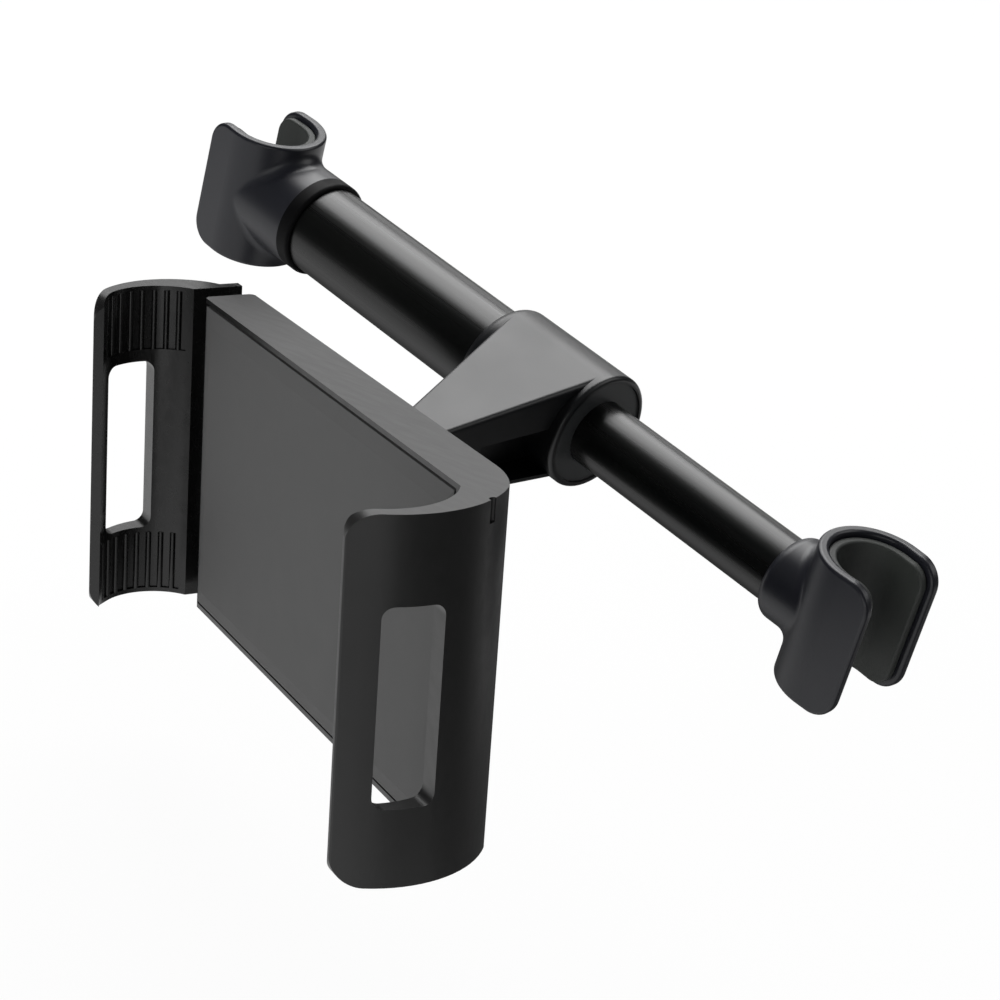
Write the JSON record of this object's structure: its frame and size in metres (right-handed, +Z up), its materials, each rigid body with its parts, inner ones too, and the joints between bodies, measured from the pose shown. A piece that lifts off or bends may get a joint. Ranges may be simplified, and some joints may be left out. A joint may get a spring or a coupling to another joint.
{
  "type": "headrest tablet mount",
  "caption": "Sprung telescopic crossbar with post clips and a ball-jointed tablet holder with a sliding jaw.",
  "frame": {"origin": "centre of the left clip's bore, at the middle of its height", "axes": "+X along the crossbar towards the right clip, +Y towards the headrest, +Z up along the posts"},
  "size_m": [0.1952, 0.126, 0.1008],
  "materials": {
    "clip_plastic": "satin moulded",
    "holder_plastic": "satin moulded",
    "trim_plastic": "fine matt",
    "seat_plastic": "plain moulded",
    "tube_aluminium": "satin black anodised",
    "lining_rubber": "matt",
    "pad_rubber": "matt",
    "screw_steel": "black oxide",
    "stud_steel": "bright plated",
    "spring_steel": "drawn wire"
  },
  "bodies": {
    "crossbar": {"left_clip": "clip_plastic", "left_clip_pad": "lining_rubber", "left_clip_screw": "screw_steel", "tube_end_ring": "trim_plastic", "outer_tube": "tube_aluminium", "arm_housing": "clip_plastic", "housing_screw": "screw_steel", "guide_bush": "trim_plastic", "ball_stud": "stud_steel", "bar_spring": "spring_steel"},
    "slider": {"inner_tube": "tube_aluminium", "slide_stop": "trim_plastic", "right_clip": "clip_plastic", "right_clip_pad": "lining_rubber", "right_clip_screw": "screw_steel"},
    "rear_seat": {"rear_ball_seat": "seat_plastic"},
    "front_seat": {"front_ball_seat": "seat_plastic"},
    "holder": {"holder_frame": "holder_plastic", "front_pad": "pad_rubber", "back_cover": "holder_plastic", "cover_screws": "screw_steel", "lower_jaw_spring": "spring_steel", "upper_jaw_spring": "spring_steel"},
    "left_jaw": {"sliding_jaw": "holder_plastic"},
    "nut": {"lock_nut": "holder_plastic"}
  },
  "joints": [
    {"name": "bar_slide", "type": "slide", "parent": "crossbar", "child": "slider", "axis": [1, 0, 0], "range_m": [-0.034, 0], "stiffness_N_per_m": 400, "springref_m": 0.03, "deforming": ["bar_spring"]},
    {"name": "holder_pan", "type": "hinge", "parent": "crossbar", "child": "rear_seat", "pos_m": [0.0984, -0.049, -0.008], "axis": [0, 0, 1], "range_deg": [-7.5, 42.5]},
    {"name": "holder_tilt", "type": "hinge", "parent": "rear_seat", "child": "front_seat", "pos_m": [0.0984, -0.049, -0.008], "axis": [0.9537, -0.3007, 0], "range_deg": [-11.2, 28.8]},
    {"name": "holder_roll", "type": "hinge", "parent": "front_seat", "child": "holder", "pos_m": [0.0984, -0.049, -0.008], "axis": [0.3002, 0.9522, 0.0558], "continuous": true},
    {"name": "jaw_slide", "type": "slide", "parent": "holder", "child": "left_jaw", "axis": [-0.9164, 0.3042, -0.2601], "range_m": [0, 0.05], "stiffness_N_per_m": 200, "springref_m": -0.02, "deforming": ["lower_jaw_spring", "upper_jaw_spring"]},
    {"name": "nut_turn", "type": "hinge", "parent": "holder", "child": "nut", "pos_m": [0.0984, -0.049, -0.008], "axis": [0.3002, 0.9522, 0.0558], "range_deg": [-60, 60]}
  ]
}
